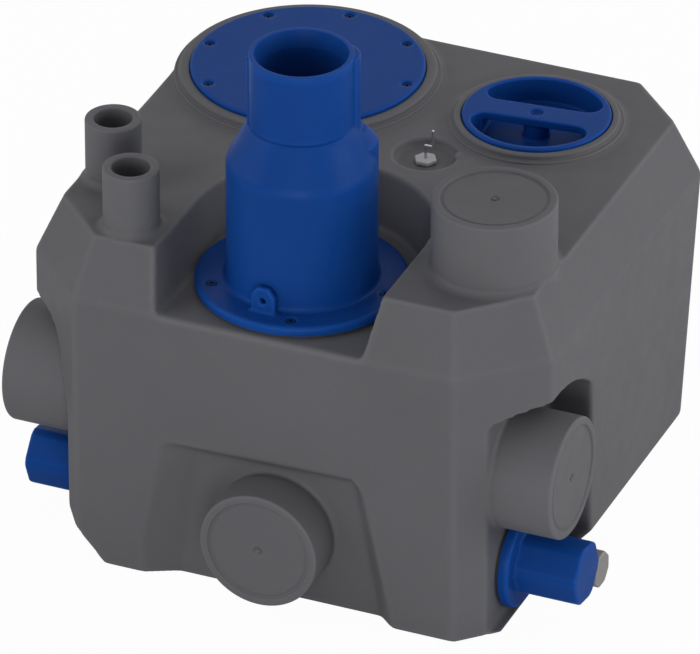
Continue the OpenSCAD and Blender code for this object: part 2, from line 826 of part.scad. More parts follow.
module flap_hinge_pin() {
    color(zinc) translate([valve_x - hinge_pin_l / 2, hinge_y, hinge_z]) rotate([0, 90, 0])
        cylinder(r = hinge_pin_r, h = hinge_pin_l);
}

module level_rod() {
    bend_z = guide_top + rod_rise;
    color("silver") translate([rod_x, rod_y, 0]) {
        translate([0, 0, float_z - 12]) cylinder(r = rod_r, h = bend_z - float_z + 12, $fn = 24);
        translate([0, 0, bend_z]) sphere(r = rod_r, $fn = 24);
        translate([0, 0, bend_z]) rotate([0, 90, 0]) cylinder(r = rod_r, h = rod_jog, $fn = 24);
        translate([rod_jog, 0, bend_z]) sphere(r = rod_r, $fn = 24);
        translate([rod_jog, 0, bend_z]) cylinder(r = rod_r, h = rod_tip, $fn = 24);
        translate([rod_jog, 0, bend_z + rod_tip]) sphere(r = rod_r, $fn = 24);
    }
}

module level_float() {
    r = float_d / 2;
    color(light_grey) translate([rod_x, rod_y, float_z]) rotate_extrude() polygon([
        [rod_r + fit, 0], [r - 6, 0], [r, 8], [r, float_h - 8], [r - 6, float_h], [rod_r + fit, float_h]
    ]);
}

module float_stops() {
    color("silver") for (z = [float_z - float_stop_t, float_z + float_h])
        translate([rod_x, rod_y, z]) difference() {
            cylinder(r = 6, h = float_stop_t);
            translate([0, 0, -1]) cylinder(r = rod_r + fit, h = float_stop_t + 2);
        }
}

module rod_guide() {
    color(light_grey) translate([rod_x, rod_y, dish_z]) difference() {
        union() {
            cylinder(r = guide_hex_r, h = guide_hex_h, $fn = 6);
            translate([0, 0, -wall - 9]) cylinder(r = guide_shank_r, h = wall + 10);
        }
        translate([0, 0, -30]) cylinder(r = rod_r + fit, h = 60, $fn = 24);
    }
}

module rod_guide_nut() {
    color(light_grey) translate([rod_x, rod_y, dish_z - wall - 6]) difference() {
        cylinder(r = 12, h = 6, $fn = 6);
        translate([0, 0, -1]) cylinder(r = guide_shank_r + fit, h = 8);
    }
}

// Screwed plug pointing along +X from the face of its pocket
module side_plug(body_l) {
    thread_l = wall + 10;
    translate([plug_seal_t, 0, 0]) rotate([0, 90, 0]) {
        translate([0, 0, -thread_l]) cylinder(r = plug_bore_r, h = thread_l + 1);
        cylinder(r = plug_flange_d / 2, h = plug_flange_t - 2);
        translate([0, 0, plug_flange_t - 2])
            cylinder(r1 = plug_flange_d / 2, r2 = plug_flange_d / 2 - 2, h = 2);
        intersection() {
            rotate([0, 0, plug_turn]) cylinder(r = plug_hex_d / 2, h = plug_flange_t + body_l, $fn = 6);
            cylinder(r = plug_hex_d / 2 - 2, h = plug_flange_t + body_l);
        }
    }
}

module at_right_plug() {
    translate([pocket_right_x, plug_y, plug_z]) children();
}

module at_left_plug() {
    translate([-pocket_left_x, plug_y, plug_z]) mirror([1, 0, 0]) children();
}

module plug_right() {
    color(blue_plastic) at_right_plug() side_plug(plug_right_l);
}

module plug_left() {
    color(blue_plastic) at_left_plug() side_plug(plug_left_l);
}

module plug_seal() {
    rotate([0, 90, 0]) difference() {
        cylinder(r = plug_flange_d / 2 - 4, h = plug_seal_t);
        translate([0, 0, -1]) cylinder(r = plug_bore_r + slack, h = plug_seal_t + 2);
    }
}

module plug_seals() {
    color(black_rubber) {
        at_right_plug() plug_seal();
        at_left_plug() plug_seal();
    }
}

module drain_plug() {
    color(light_grey) translate([pocket_right_x, drain_y, drain_z]) rotate([0, 90, 0]) {
        translate([0, 0, -wall - 8]) cylinder(r = drain_r, h = wall + 9);
        cylinder(r = drain_r + 3, h = drain_neck_l + 1);
        translate([0, 0, drain_neck_l]) rotate([0, 0, 22.5])
            cylinder(r = drain_head_r, h = drain_l - drain_neck_l, $fn = 8);
    }
}

module at_pump() {
    translate([cover_x, covers_y, 0]) children();
}

module pump_feet() {
    color(black_rubber) at_pump() for (i = [0 : 2]) rotate([0, 0, 90 + i * 120])
        translate([volute_r - 16, 0, floor_z]) cylinder(r1 = 12, r2 = 9, h = foot_h);
}

module at_outlet() {
    at_pump() rotate([0, 0, run_angle]) translate([0, -tangent_off, outlet_z]) rotate([0, 90, 0]) children();
}

module pump_housing() {
    color("darkslategray") difference() {
        union() {
            at_pump() translate([0, 0, volute_z]) cylinder(r = volute_r, h = volute_h);
            at_outlet() cylinder(r = pipe_r, h = outlet_l);
        }
        at_pump() {
            translate([0, 0, volute_z + volute_wall])
                cylinder(r = volute_in_r, h = volute_h - 2 * volute_wall);
            translate([0, 0, volute_z - 1]) cylinder(r = suction_r + 8, h = volute_wall + 2);
            translate([0, 0, motor_z - volute_wall - 1]) cylinder(r = shaft_r + 10, h = volute_wall + 2);
        }
        at_outlet() cylinder(r = pipe_bore_r, h = outlet_l + 1);
    }
}

module suction_plate() {
    color(zinc) at_pump() translate([0, 0, volute_z]) difference() {
        cylinder(r = suction_r + 8 - slack, h = volute_wall);
        translate([0, 0, -1]) cylinder(r = suction_r, h = volute_wall + 2);
    }
}

module motor_casing() {
    rib_n = 24;
    rib_in = 6;
    end_ring_h = 6;
    boss_r = 6;
    color("darkslategray") difference() {
        union() {
            at_pump() difference() {
                union() {
                    translate([0, 0, motor_z]) cylinder(r = motor_r - 3, h = motor_h);
                    for (i = [0 : rib_n - 1]) rotate([0, 0, i * 360 / rib_n])
                        translate([motor_r - rib_in, -1.5, motor_z + end_ring_h])
                            cube([rib_in, 3, motor_h - 2 * end_ring_h]);
                    translate([0, 0, motor_z]) cylinder(r = motor_r, h = end_ring_h);
                    translate([0, 0, motor_top - end_ring_h]) cylinder(r = motor_r, h = end_ring_h);
                }
                translate([0, 0, bearing_low_z + bearing_h]) cylinder(r = motor_r - motor_wall, h = motor_h);
                translate([0, 0, bearing_low_z]) cylinder(r = bearing_r + fit, h = motor_h);
                translate([0, 0, motor_z - 1]) cylinder(r = 14 + fit, h = 30);
            }
            at_motor_screws() translate([0, 0, motor_top - lid_screw_in - 3])
                cylinder(r = boss_r, h = lid_screw_in + 3);
        }
        at_motor_screws() translate([0, 0, motor_top - lid_screw_in - 1])
            cylinder(r = lid_screw_r + fit, h = lid_screw_in + 2);
    }
}

module at_motor_screws() {
    at_pump() for (i = [0 : 3]) rotate([0, 0, 45 + i * 90]) translate([motor_r - 8, 0, 0]) children();
}

module motor_cover() {
    hub_h = motor_top - bearing_top_z;
    hub_r = bearing_r + 6;
    color("darkslategray") difference() {
        at_pump() translate([0, 0, motor_top]) {
            cylinder(r = motor_r, h = lid_t - 4);
            translate([0, 0, lid_t - 4]) cylinder(r1 = motor_r, r2 = motor_r - 10, h = 4);
            translate([0, 0, bearing_h + slack - hub_h]) difference() {
                cylinder(r = hub_r, h = hub_h - bearing_h);
                translate([0, 0, -1]) cylinder(r = shaft_r + 3, h = hub_h + 2);
            }
            translate([0, 0, -hub_h]) difference() {
                cylinder(r = hub_r, h = hub_h);
                translate([0, 0, -1]) cylinder(r = bearing_r + fit, h = bearing_h + 1 + slack);
                cylinder(r = shaft_r + 3, h = hub_h - 1);
            }
        }
        at_motor_screws() {
            translate([0, 0, motor_top - 1]) cylinder(r = lid_screw_r + slack, h = lid_t + 2);
            translate([0, 0, motor_top + lid_t - lid_head_h - 1])
                cylinder(r = lid_head_r + slack, h = lid_head_h + 2);
        }
    }
}

module motor_cover_screws() {
    head_z = motor_top + lid_t - lid_head_h - 1 + slack;
    color(zinc) at_motor_screws() {
        translate([0, 0, head_z]) cylinder(r = lid_head_r, h = lid_head_h);
        translate([0, 0, motor_top - lid_screw_in])
            cylinder(r = lid_screw_r, h = head_z + lid_screw_in - motor_top + 1);
    }
}

module stator() {
    color("peru") at_pump() translate([0, 0, stator_z]) difference() {
        cylinder(r = stator_r, h = stator_h);
        translate([0, 0, -1]) cylinder(r = stator_bore_r, h = stator_h + 2);
    }
}

module rotor_core() {
    color("lightsteelblue") at_pump() translate([0, 0, stator_z + 2]) difference() {
        cylinder(r = rotor_r, h = stator_h - 4);
        translate([0, 0, -1]) cylinder(r = shaft_r + fit, h = stator_h);
    }
}

module motor_shaft() {
    color("silver") at_pump() {
        translate([0, 0, impeller_z - 10]) cylinder(r = shaft_r - 2, h = 20);
        translate([0, 0, impeller_z]) cylinder(r = shaft_r, h = motor_top - 4 - impeller_z);
    }
}

module ball_bearing(z) {
    at_pump() translate([0, 0, z]) difference() {
        cylinder(r = bearing_r, h = bearing_h);
        translate([0, 0, -1]) cylinder(r = shaft_r + fit, h = bearing_h + 2);
        for (groove_z = [-0.01, bearing_h - 2.01]) translate([0, 0, groove_z]) difference() {
            cylinder(r = bearing_r - 4, h = 2.02);
            translate([0, 0, -1]) cylinder(r = shaft_r + 4, h = 5);
        }
    }
}

module lower_bearing() {
    color("silver") ball_bearing(bearing_low_z);
}

module upper_bearing() {
    color("silver") ball_bearing(bearing_top_z);
}

module shaft_seal() {
    color(black_rubber) at_pump() translate([0, 0, motor_z + 1]) difference() {
        cylinder(r = 14, h = 12);
        translate([0, 0, -1]) cylinder(r = shaft_r + fit, h = 14);
    }
}

// Curved blade: part of a ring set off the axis, from the hub out to just inside the shroud's edge
module blade() {
    curve_r = impeller_r * 0.62;
    intersection() {
        translate([curve_r * 0.9, 0, 0]) difference() {
            cylinder(r = curve_r, h = impeller_h - 2);
            translate([0, 0, -1]) cylinder(r = curve_r - 4, h = impeller_h + 2);
        }
        translate([2, 0, -1]) cube([impeller_r * 2, impeller_r, impeller_h + 2]);
        translate([0, 0, -1]) cylinder(r = impeller_r - 1.5, h = impeller_h + 2);
    }
}

module impeller() {
    hub_r = 17;
    color("gray") at_pump() translate([0, 0, impeller_z]) difference() {
        union() {
            cylinder(r = hub_r, h = impeller_h - 1);
            translate([0, 0, impeller_h - 4]) cylinder(r = impeller_r, h = 4);
            for (i = [0 : blades_n - 1]) rotate([0, 0, i * 360 / blades_n]) blade();
        }
        translate([0, 0, -1]) cylinder(r = shaft_r + fit, h = impeller_h + 2);
    }
}

module impeller_nut() {
    color(zinc) at_pump() translate([0, 0, impeller_z - 7]) difference() {
        cylinder(r = 11, h = 7, $fn = 6);
        translate([0, 0, -1]) cylinder(r = shaft_r - 2 + fit, h = 9);
    }
}

module riser_pipe() {
    color("darkslategray") difference() {
        translate([valve_x, valve_y, 0]) difference() {
            union() {
                translate([0, 0, outlet_z + elbow_r])
                    cylinder(r = pipe_r, h = riser_top - outlet_z - elbow_r);
                translate([0, 0, riser_top - riser_flange_t])
                    cylinder(r = riser_flange_r, h = riser_flange_t);
                translate([0, 0, riser_top - 40]) cylinder(r1 = pipe_r, r2 = port_r + 4, h = 40);
            }
            translate([0, 0, outlet_z]) cylinder(r = pipe_bore_r, h = riser_top);
            translate([0, 0, riser_top - 36]) cylinder(r1 = pipe_bore_r, r2 = port_r, h = 36 + eps);
        }
        at_flange_screws() translate([0, 0, riser_top - riser_flange_t - 1]) cylinder(r = 3.3, h = 20);
    }
}

module pressure_pipe() {
    straight_l = pipe_l - elbow_r - outlet_l;
    color("darkslategray") at_outlet() translate([0, 0, outlet_l]) {
        difference() {
            cylinder(r = pipe_r, h = straight_l);
            translate([0, 0, -1]) cylinder(r = pipe_bore_r, h = straight_l + 2);
        }
        translate([-elbow_r, 0, straight_l]) rotate([90, 0, 0]) rotate_extrude(angle = 90)
            translate([elbow_r, 0]) difference() {
                circle(r = pipe_r);
                circle(r = pipe_bore_r);
            }
    }
}

module pipe_sleeve() {
    color(black_rubber) at_outlet() translate([0, 0, outlet_l - 12]) difference() {
        cylinder(r = pipe_r + fit + sleeve_t, h = sleeve_l / 2);
        translate([0, 0, -1]) cylinder(r = pipe_r + fit, h = sleeve_l);
    }
}

module sleeve_clamps() {
    clamp_w = 8;
    color("silver") at_outlet() for (z = [outlet_l - 11, outlet_l + sleeve_l / 2 - 12 - clamp_w - 1])
        translate([0, 0, z]) difference() {
            cylinder(r = pipe_r + sleeve_t + 1.2, h = clamp_w);
            translate([0, 0, -1]) cylinder(r = pipe_r + sleeve_t + 2 * fit, h = clamp_w + 2);
        }
}

tank();
pump_cover();
cover_gasket();
cover_screws();
cover_inserts();
inspection_cap();
cap_o_ring();
discharge_valve_body();
flange_gasket();
flange_screws();
flange_nuts();
valve_seat();
check_flap();
flap_weight();
flap_hinge_pin();
level_rod();
level_float();
float_stops();
rod_guide();
rod_guide_nut();
plug_right();
plug_left();
plug_seals();
drain_plug();
pump_feet();
pump_housing();
suction_plate();
motor_casing();
motor_cover();
motor_cover_screws();
stator();
rotor_core();
motor_shaft();
lower_bearing();
upper_bearing();
shaft_seal();
impeller();
impeller_nut();
riser_pipe();
pressure_pipe();
pipe_sleeve();
sleeve_clamps();
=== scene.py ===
import json
import math

import bpy
import numpy as np
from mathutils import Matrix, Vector


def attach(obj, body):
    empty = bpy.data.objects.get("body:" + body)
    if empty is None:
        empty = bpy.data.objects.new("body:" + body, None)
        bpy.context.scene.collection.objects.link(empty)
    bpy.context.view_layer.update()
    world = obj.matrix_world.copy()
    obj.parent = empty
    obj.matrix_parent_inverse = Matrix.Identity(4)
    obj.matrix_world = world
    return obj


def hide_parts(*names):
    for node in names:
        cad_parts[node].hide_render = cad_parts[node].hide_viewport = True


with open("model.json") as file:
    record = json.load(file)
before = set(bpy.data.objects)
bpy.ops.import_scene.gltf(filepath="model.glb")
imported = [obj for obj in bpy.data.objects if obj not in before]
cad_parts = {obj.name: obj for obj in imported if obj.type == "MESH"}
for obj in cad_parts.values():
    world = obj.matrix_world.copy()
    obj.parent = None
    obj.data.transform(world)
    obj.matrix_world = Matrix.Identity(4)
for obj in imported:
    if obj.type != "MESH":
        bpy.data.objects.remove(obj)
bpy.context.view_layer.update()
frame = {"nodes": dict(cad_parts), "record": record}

# Sewage lifting station, in the frame of its CAD model: metres, +Z up, -Y is the front.
# Lathe profiles, and radii and heights that are compared with them, are in millimetres.

MM = 0.001
TO_MM = 1000
TINY = 1e-9
WHITE = (1.0, 1.0, 1.0)
X, Z = (1, 0, 0), (0, 0, 1)

# ---------------------------------------------------------------- camera

IMAGE_W = 700
FOCAL_PX = 9990.0
CAMERA_AZ = 22.917
CAMERA_EL = 30.896
CAMERA_DISTANCE = 8.678
CAMERA_TARGET = (0.04944, -0.16254, 0.25)
PRINCIPAL_RIGHT_PX = 0.45
PRINCIPAL_UP_PX = 1.46
SENSOR = 36.0
CLIP_NEAR, CLIP_FAR = 0.1, 100.0


def place(data, target, azimuth, elevation, distance):
    """Camera or lamp that faces the target; azimuth 0 is the front and 90 the right side."""
    az, el = math.radians(azimuth), math.radians(elevation)
    back = Vector((math.sin(az) * math.cos(el), -math.cos(az) * math.cos(el), math.sin(el)))
    ob = bpy.data.objects.new(data.name, data)
    ob.location = Vector(target) + back * distance
    ob.rotation_mode = "QUATERNION"
    ob.rotation_quaternion = (-back).to_track_quat("-Z", "Y")
    bpy.context.scene.collection.objects.link(ob)
    return ob


def make_camera():
    data = bpy.data.cameras.new("camera")
    data.sensor_width = SENSOR
    data.lens = FOCAL_PX * SENSOR / IMAGE_W
    data.shift_x = -PRINCIPAL_RIGHT_PX / IMAGE_W
    data.shift_y = -PRINCIPAL_UP_PX / IMAGE_W
    data.clip_start, data.clip_end = CLIP_NEAR, CLIP_FAR
    camera = place(data, CAMERA_TARGET, CAMERA_AZ, CAMERA_EL, CAMERA_DISTANCE)
    bpy.context.scene.camera = camera


make_camera()

# ---------------------------------------------------------------- node trees


class Tree:
    """Short calls for building the node tree of a material or of the world."""

    def __init__(self, owner, output):
        owner.use_nodes = True
        self.tree = owner.node_tree
        self.tree.nodes.clear()
        self.surface = self.add(output).inputs["Surface"]

    def add(self, kind, inputs=None, **settings):
        node = self.tree.nodes.new(kind)
        for key, value in settings.items():
            setattr(node, key, value)
        for key, value in (inputs or {}).items():
            self.feed(value, node.inputs[key])
        return node

    def link(self, a, b):
        self.tree.links.new(a, b)

    def feed(self, value, socket):
        """Sets a number or a colour on the socket, or links an output to it."""
        if isinstance(value, tuple) and len(value) == 3 and socket.type == "RGBA":
            socket.default_value = (*value, 1.0)
        elif isinstance(value, (float, tuple)):
            socket.default_value = value
        else:
            self.link(value, socket)

    def combine(self, operation, a, b):
        node = self.add("ShaderNodeMath", {0: a, 1: b}, operation=operation)
        return node.outputs[0]

    def show_mix(self, share, first, second):
        """Shows two shaders, the second one by its share."""
        node = self.add("ShaderNodeMixShader", {0: share, 1: first, 2: second})
        self.link(node.outputs[0], self.surface)


class Surface(Tree):
    """Material with one principled shader; its textures use the object's own coordinates."""

    EDGE_FROM, EDGE_TO = 0.502, 0.53

    def __init__(self, name):
        self.material = bpy.data.materials.new(name)
        super().__init__(self.material, "ShaderNodeOutputMaterial")
        self.shader = self.add("ShaderNodeBsdfPrincipled")
        self.link(self.shader.outputs[0], self.surface)
        self.where = self.add("ShaderNodeTexCoord").outputs["Object"]

    def set(self, name, value):
        self.feed(value, self.shader.inputs[name])

    def noise(self, scale, detail=2.0, rough=0.5, stretch=None):
        where = self.where
        if stretch:
            mapping = self.add("ShaderNodeMapping", {"Vector": where, "Scale": stretch})
            where = mapping.outputs["Vector"]
        node = self.add("ShaderNodeTexNoise", {
            "Vector": where, "Scale": scale, "Detail": detail, "Roughness": rough})
        return node.outputs[0]

    def span(self, value, low, high, from_low=0.3, from_high=0.7):
        node = self.add("ShaderNodeMapRange", {
            "Value": value, "From Min": from_low, "From Max": from_high,
            "To Min": low, "To Max": high})
        return node.outputs[0]

    def ramp(self, value, stops):
        node = self.add("ShaderNodeValToRGB", {"Fac": value})
        elements = node.color_ramp.elements
        while len(elements) < len(stops):
            elements.new(0.5)
        for element, (position, colour) in zip(elements, stops):
            element.position = position
            element.color = (*colour, 1.0)
        return node.outputs["Color"]

    def mix(self, factor, a, b, mode="MIX"):
        node = self.add("ShaderNodeMix", {0: factor}, data_type="RGBA", blend_type=mode)
        colour_in = [s for s in node.inputs if s.type == "RGBA"]
        for socket, value in zip(colour_in, (a, b)):
            self.feed(value, socket)
        return [s for s in node.outputs if s.type == "RGBA"][0]

    def bump(self, heights):
        """heights: (value, distance in metres, strength), stacked one on another."""
        last = None
        for value, distance, strength in heights:
            node = self.add("ShaderNodeBump", {
                "Distance": distance, "Strength": strength, "Height": value})
            if last:
                self.link(last, node.inputs["Normal"])
            last = node.outputs["Normal"]
        self.set("Normal", last)

    def edge_highlight_mask(self):
        """0 on flat faces and up to 1 along raised edges, where the edges get a painted
        highlight.
        """
        geometry = self.add("ShaderNodeNewGeometry")
        return self.span(geometry.outputs["Pointiness"], 0.0, 1.0, self.EDGE_FROM, self.EDGE_TO)


def shade(colour, factor):
    return tuple(min(1.0, c * factor) for c in colour)


# ---------------------------------------------------------------- materials


def moulded_plastic(name, colour, rough, specular, mottle, grain_m, grain_depth, wave_depth,
                    edge_highlight_lift):
    """Moulded plastic: cloudy colour, fine skin grain, slow waves of the wall, and a painted
    highlight that makes raised edges paler.
    """
    speck_dark, speck_share = 0.93, 0.6
    n = Surface(name)
    cloud = n.noise(scale=7.0, detail=3.0, rough=0.55)
    speck = n.noise(scale=260.0, detail=2.0, rough=0.6)
    base = n.ramp(cloud, [
        (0.32, shade(colour, 1.0 - mottle)), (0.52, colour), (0.7, shade(colour, 1.0 + mottle))])
    fine = n.ramp(speck, [(0.3, shade(WHITE, speck_dark)), (0.7, WHITE)])
    mixed = n.mix(speck_share, base, fine, "MULTIPLY")
    # raised edges get a painted highlight: the base colour is made paler along them
    n.set("Base Color", n.mix(n.edge_highlight_mask(), mixed, shade(colour, 1.0 + edge_highlight_lift)))
    scuff = n.noise(scale=38.0, detail=4.0, rough=0.62)
    n.set("Roughness", n.span(scuff, rough - 0.06, rough + 0.08))
    n.set("Specular IOR Level", specular)
    n.bump([
        (n.noise(scale=9.0, detail=1.0, rough=0.4), wave_depth, 0.35),
        (n.noise(scale=1.0 / grain_m, detail=2.0, rough=0.55), grain_depth, 0.5),
    ])
    return n.material


def rubber(name, colour):
    """Dull rubber with pale dust."""
    n = Surface(name)
    dust = n.noise(scale=90.0, detail=4.0, rough=0.6)
    n.set("Base Color", n.ramp(dust, [(0.35, colour), (0.75, shade(colour, 2.2))]))
    n.set("Roughness", n.span(n.noise(scale=240.0), 0.6, 0.8))
    n.bump([(n.noise(scale=900.0), 0.00005, 0.5)])
    return n.material


def metal(name, colour, rough):
    """Bare metal, brushed along its axis, with a few stains."""
    n = Surface(name)
    streak = n.noise(scale=160.0, detail=3.0, rough=0.6, stretch=(1.0, 1.0, 14.0))
    stain = n.noise(scale=30.0, detail=3.0)
    tint = n.ramp(streak, [(0.3, shade(colour, 0.82)), (0.7, colour)])
    n.set("Base Color", n.mix(n.span(stain, 0.0, 0.35), tint, shade(colour, 0.6)))
    n.set("Roughness", n.span(streak, rough - 0.08, rough + 0.1))
    n.set("Metallic", 1.0)
    n.bump([(streak, 0.00003, 0.4)])
    return n.material


def painted_casting(name, colour):
    """Painted iron casting with a stony skin."""
    n = Surface(name)
    stone = n.noise(scale=320.0, detail=4.0, rough=0.65)
    wash = n.noise(scale=14.0, detail=3.0)
    n.set("Base Color", n.ramp(wash, [(0.3, shade(colour, 0.8)), (0.7, shade(colour, 1.25))]))
    n.set("Roughness", n.span(stone, 0.45, 0.7))
    n.bump([(stone, 0.00035, 0.6)])
    return n.material


def laminated(name, colour, plate):
    """Stacked sheet metal: fine rings across the axis, one for each plate."""
    wave_period = 6.28  # of Blender's wave texture at scale 1
    n = Surface(name)
    wave = n.add(
        "ShaderNodeTexWave",
        {"Vector": n.where, "Scale": 1.0 / plate / wave_period, "Distortion": 0.2},
        wave_type="BANDS", bands_direction="Z")
    rings = n.ramp(wave.outputs["Color"], [(0.2, shade(colour, 0.6)), (0.6, colour)])
    n.set("Base Color", rings)
    n.set("Roughness", n.span(n.noise(scale=80.0), 0.3, 0.45))
    n.set("Metallic", 0.9)
    n.bump([(wave.outputs["Fac"], 0.0001, 0.5)])
    return n.material


GREY = (0.112, 0.112, 0.121)
BLUE = (0.0052, 0.048, 0.232)
DARK_BLUE = (0.004, 0.018, 0.07)
WARM_GREY = (0.235, 0.222, 0.214)
LIGHT_GREY = (0.35, 0.35, 0.36)

MATERIALS = {
    "grey_polyethylene": moulded_plastic(
        "grey_polyethylene", GREY, rough=0.5, specular=0.12, mottle=0.03,
        grain_m=0.0011, grain_depth=0.00006, wave_depth=0.00012, edge_highlight_lift=0.14),
    "blue_plastic": moulded_plastic(
        "blue_plastic", BLUE, rough=0.36, specular=0.055, mottle=0.05,
        grain_m=0.0006, grain_depth=0.00002, wave_depth=0.0002, edge_highlight_lift=0.3),
    # dark blue of the coated screws, darkened further as painted shade so that the counterbores
    # read as dark holes
    "screw_blue_painted_shade": moulded_plastic(
        "screw_blue_painted_shade", DARK_BLUE, rough=0.5, specular=0.08, mottle=0.1,
        grain_m=0.0006, grain_depth=0.00002, wave_depth=0.0001, edge_highlight_lift=0.2),
    "drain_plastic": moulded_plastic(
        "drain_plastic", WARM_GREY, rough=0.45, specular=0.3, mottle=0.05,
        grain_m=0.0006, grain_depth=0.00002, wave_depth=0.0001, edge_highlight_lift=0.15),
    "light_grey_plastic": moulded_plastic(
        "light_grey_plastic", LIGHT_GREY, rough=0.45, specular=0.35, mottle=0.05,
        grain_m=0.0006, grain_depth=0.00002, wave_depth=0.0001, edge_highlight_lift=0.15),
    "black_rubber": rubber("black_rubber", (0.014, 0.014, 0.015)),
    "stainless_steel": metal("stainless_steel", (0.50, 0.51, 0.53), rough=0.32),
    "brass": metal("brass", (0.62, 0.46, 0.18), rough=0.3),
    "cast_iron": painted_casting("cast_iron", (0.045, 0.05, 0.055)),
    "laminated_steel": laminated("laminated_steel", (0.42, 0.43, 0.45), plate=0.001),
    "copper_and_steel": laminated("copper_and_steel", (0.50, 0.24, 0.10), plate=0.0014),
}

SLOTS = {part["node"]: part["material_slot"] for part in frame["record"]["subparts"]}
BODIES = frame["record"]["behaviour"]["bodies"]
BODY = {node: body for body, members in BODIES.items() for node in members}

# nodes that look different from the material of their slot; the screws' dark blue is their
# coating, made darker as painted shade of their counterbores
FINISH = {
    "cover_screws": "screw_blue_painted_shade",
    "flange_screws": "screw_blue_painted_shade",
    "drain_plug": "drain_plastic",
}


def dress(ob, node):
    ob.data.materials.clear()
    ob.data.materials.append(MATERIALS[FINISH.get(node, SLOTS[node])])


def finish_piece(ob, node):
    """Gives a piece of the scene the looks and body of the node that it replaces, and hides that
    node.
    """
    dress(ob, node)
    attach(ob, BODY[node])
    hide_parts(node)


for node_name, node_object in frame["nodes"].items():
    dress(node_object, node_name)

# ---------------------------------------------------------------- mesh helpers

WELD = 1e6  # points that round to the same micrometre are joined
RELAX = 0.5  # share of the way to the middle of its neighbours that a point goes in one round
LONGEST_FILLET = 0.49  # share of a side that one fillet may take


def new_object(name, mesh):
    ob = bpy.data.objects.new(name, mesh)
    bpy.context.scene.collection.objects.link(ob)
    return ob


def read_array(items, attribute, width, kind):
    """One attribute of a mesh as a flat array, width numbers for each item."""
    values = np.empty(len(items) * width, kind)
    items.foreach_get(attribute, values)
    return values


def voxel_skin(node, voxel):
    """Even quad skin of one CAD node: points, edges and quads as arrays."""
    source = bpy.data.meshes.new("soup")
    original = frame["nodes"][node].data
    points = read_array(original.vertices, "co", 3, np.float64).reshape(-1, 3)
    loops = read_array(original.loops, "vertex_index", 1, np.int64)
    _, first, back = np.unique(
        np.round(points * WELD).astype(np.int64), axis=0, return_index=True, return_inverse=True)
    tris = back.ravel()[loops].reshape(-1, 3)
    a, b, c = tris.T
    tris = tris[(a != b) & (b != c) & (a != c)]
    source.from_pydata(points[first].tolist(), [], tris.tolist())
    ob = new_object("soup", source)
    remesh = ob.modifiers.new("voxels", "REMESH")
    remesh.mode = "VOXEL"
    remesh.voxel_size = voxel
    remesh.adaptivity = 0.0
    graph = bpy.context.evaluated_depsgraph_get()
    mesh = bpy.data.meshes.new_from_object(ob.evaluated_get(graph))
    co = read_array(mesh.vertices, "co", 3, np.float64).reshape(-1, 3)
    edges = read_array(mesh.edges, "vertices", 2, np.int64).reshape(-1, 2)
    quads = read_array(mesh.loops, "vertex_index", 1, np.int64).reshape(-1, 4)
    bpy.data.objects.remove(ob)
    bpy.data.meshes.remove(source)
    bpy.data.meshes.remove(mesh)
    return co, edges, quads


def relax(co, edges, rounds, factor):
    """Moves each point towards the middle of its neighbours; factor is one number or one each."""
    count = len(co)
    a, b = edges[:, 0], edges[:, 1]
    links = np.bincount(a, minlength=count) + np.bincount(b, minlength=count)
    links = np.maximum(links, 1)
    factor = np.broadcast_to(np.asarray(factor, float), (count,))[:, None]
    co = co.copy()
    for _ in range(rounds):
        middle = np.empty_like(co)
        for k in range(3):
            middle[:, k] = np.bincount(a, co[b, k], count) + np.bincount(b, co[a, k], count)
        co += factor * (middle / links[:, None] - co)
    return co


def step(value, low, high):
    """0 up to low, 1 from high on and smooth between them."""
    t = np.clip((value - low) / (high - low), 0.0, 1.0)
    return t * t * (3.0 - 2.0 * t)


def axis_distance(co, centre):
    """Distance of each point from the upright line through the centre."""
    return np.hypot(co[:, 0] - centre[0], co[:, 1] - centre[1])


def scale_about(co, centre, scale):
    """Scales the distance of each point from the upright line through the centre, in place."""
    for k in range(2):
        co[:, k] = centre[k] + (co[:, k] - centre[k]) * scale


def build(name, parts):
    """One mesh object from (points, [face index arrays]) parts."""
    points, starts, corners = [], [], []
    offset = loop_start = 0
    for co, faces in parts:
        used = np.zeros(len(co), bool)
        for face in faces:
            used[face.ravel()] = True
        renumber = np.cumsum(used) - 1 + offset
        points.append(co[used])
        for face in faces:
            corners.append(renumber[face].ravel())
            starts.append(loop_start + np.arange(len(face)) * face.shape[1])
            loop_start += face.size
        offset += int(used.sum())
    points, corners, starts = (np.concatenate(rows) for rows in (points, corners, starts))
    mesh = bpy.data.meshes.new(name)
    mesh.vertices.add(len(points))
    mesh.vertices.foreach_set("co", points.ravel().astype(np.float32))
    mesh.loops.add(len(corners))
    mesh.loops.foreach_set("vertex_index", corners.astype(np.int32))
    mesh.polygons.add(len(starts))
    mesh.polygons.foreach_set("loop_start", starts.astype(np.int32))
    mesh.update(calc_edges=True)
    mesh.validate()
    mesh.shade_smooth()
    return new_object(name, mesh)


def rounded(corners, steps=6):
    """Polyline through corners (r, z, fillet radius), in millimetres, with filleted corners."""
    out = []
    last = len(corners) - 1
    for i, (x, y, radius) in enumerate(corners):
        here = np.array((x, y), float)
        if radius == 0 or i in (0, last):
            out.append(here)
            continue
        before = np.array(corners[i - 1][:2], float) - here
        after = np.array(corners[i + 1][:2], float) - here
        before_l, after_l = np.linalg.norm(before), np.linalg.norm(after)
        before, after = before / before_l, after / after_l
        angle = math.acos(max(-1.0, min(1.0, float(before @ after))))
        reach = min(
            radius / math.tan(angle / 2), before_l * LONGEST_FILLET, after_l * LONGEST_FILLET)
        start, end = here + before * reach, here + after * reach
        for k in range(steps + 1):
            t = k / steps
            out.append((1 - t) ** 2 * start + 2 * t * (1 - t) * here + t * t * end)
    return np.array(out)


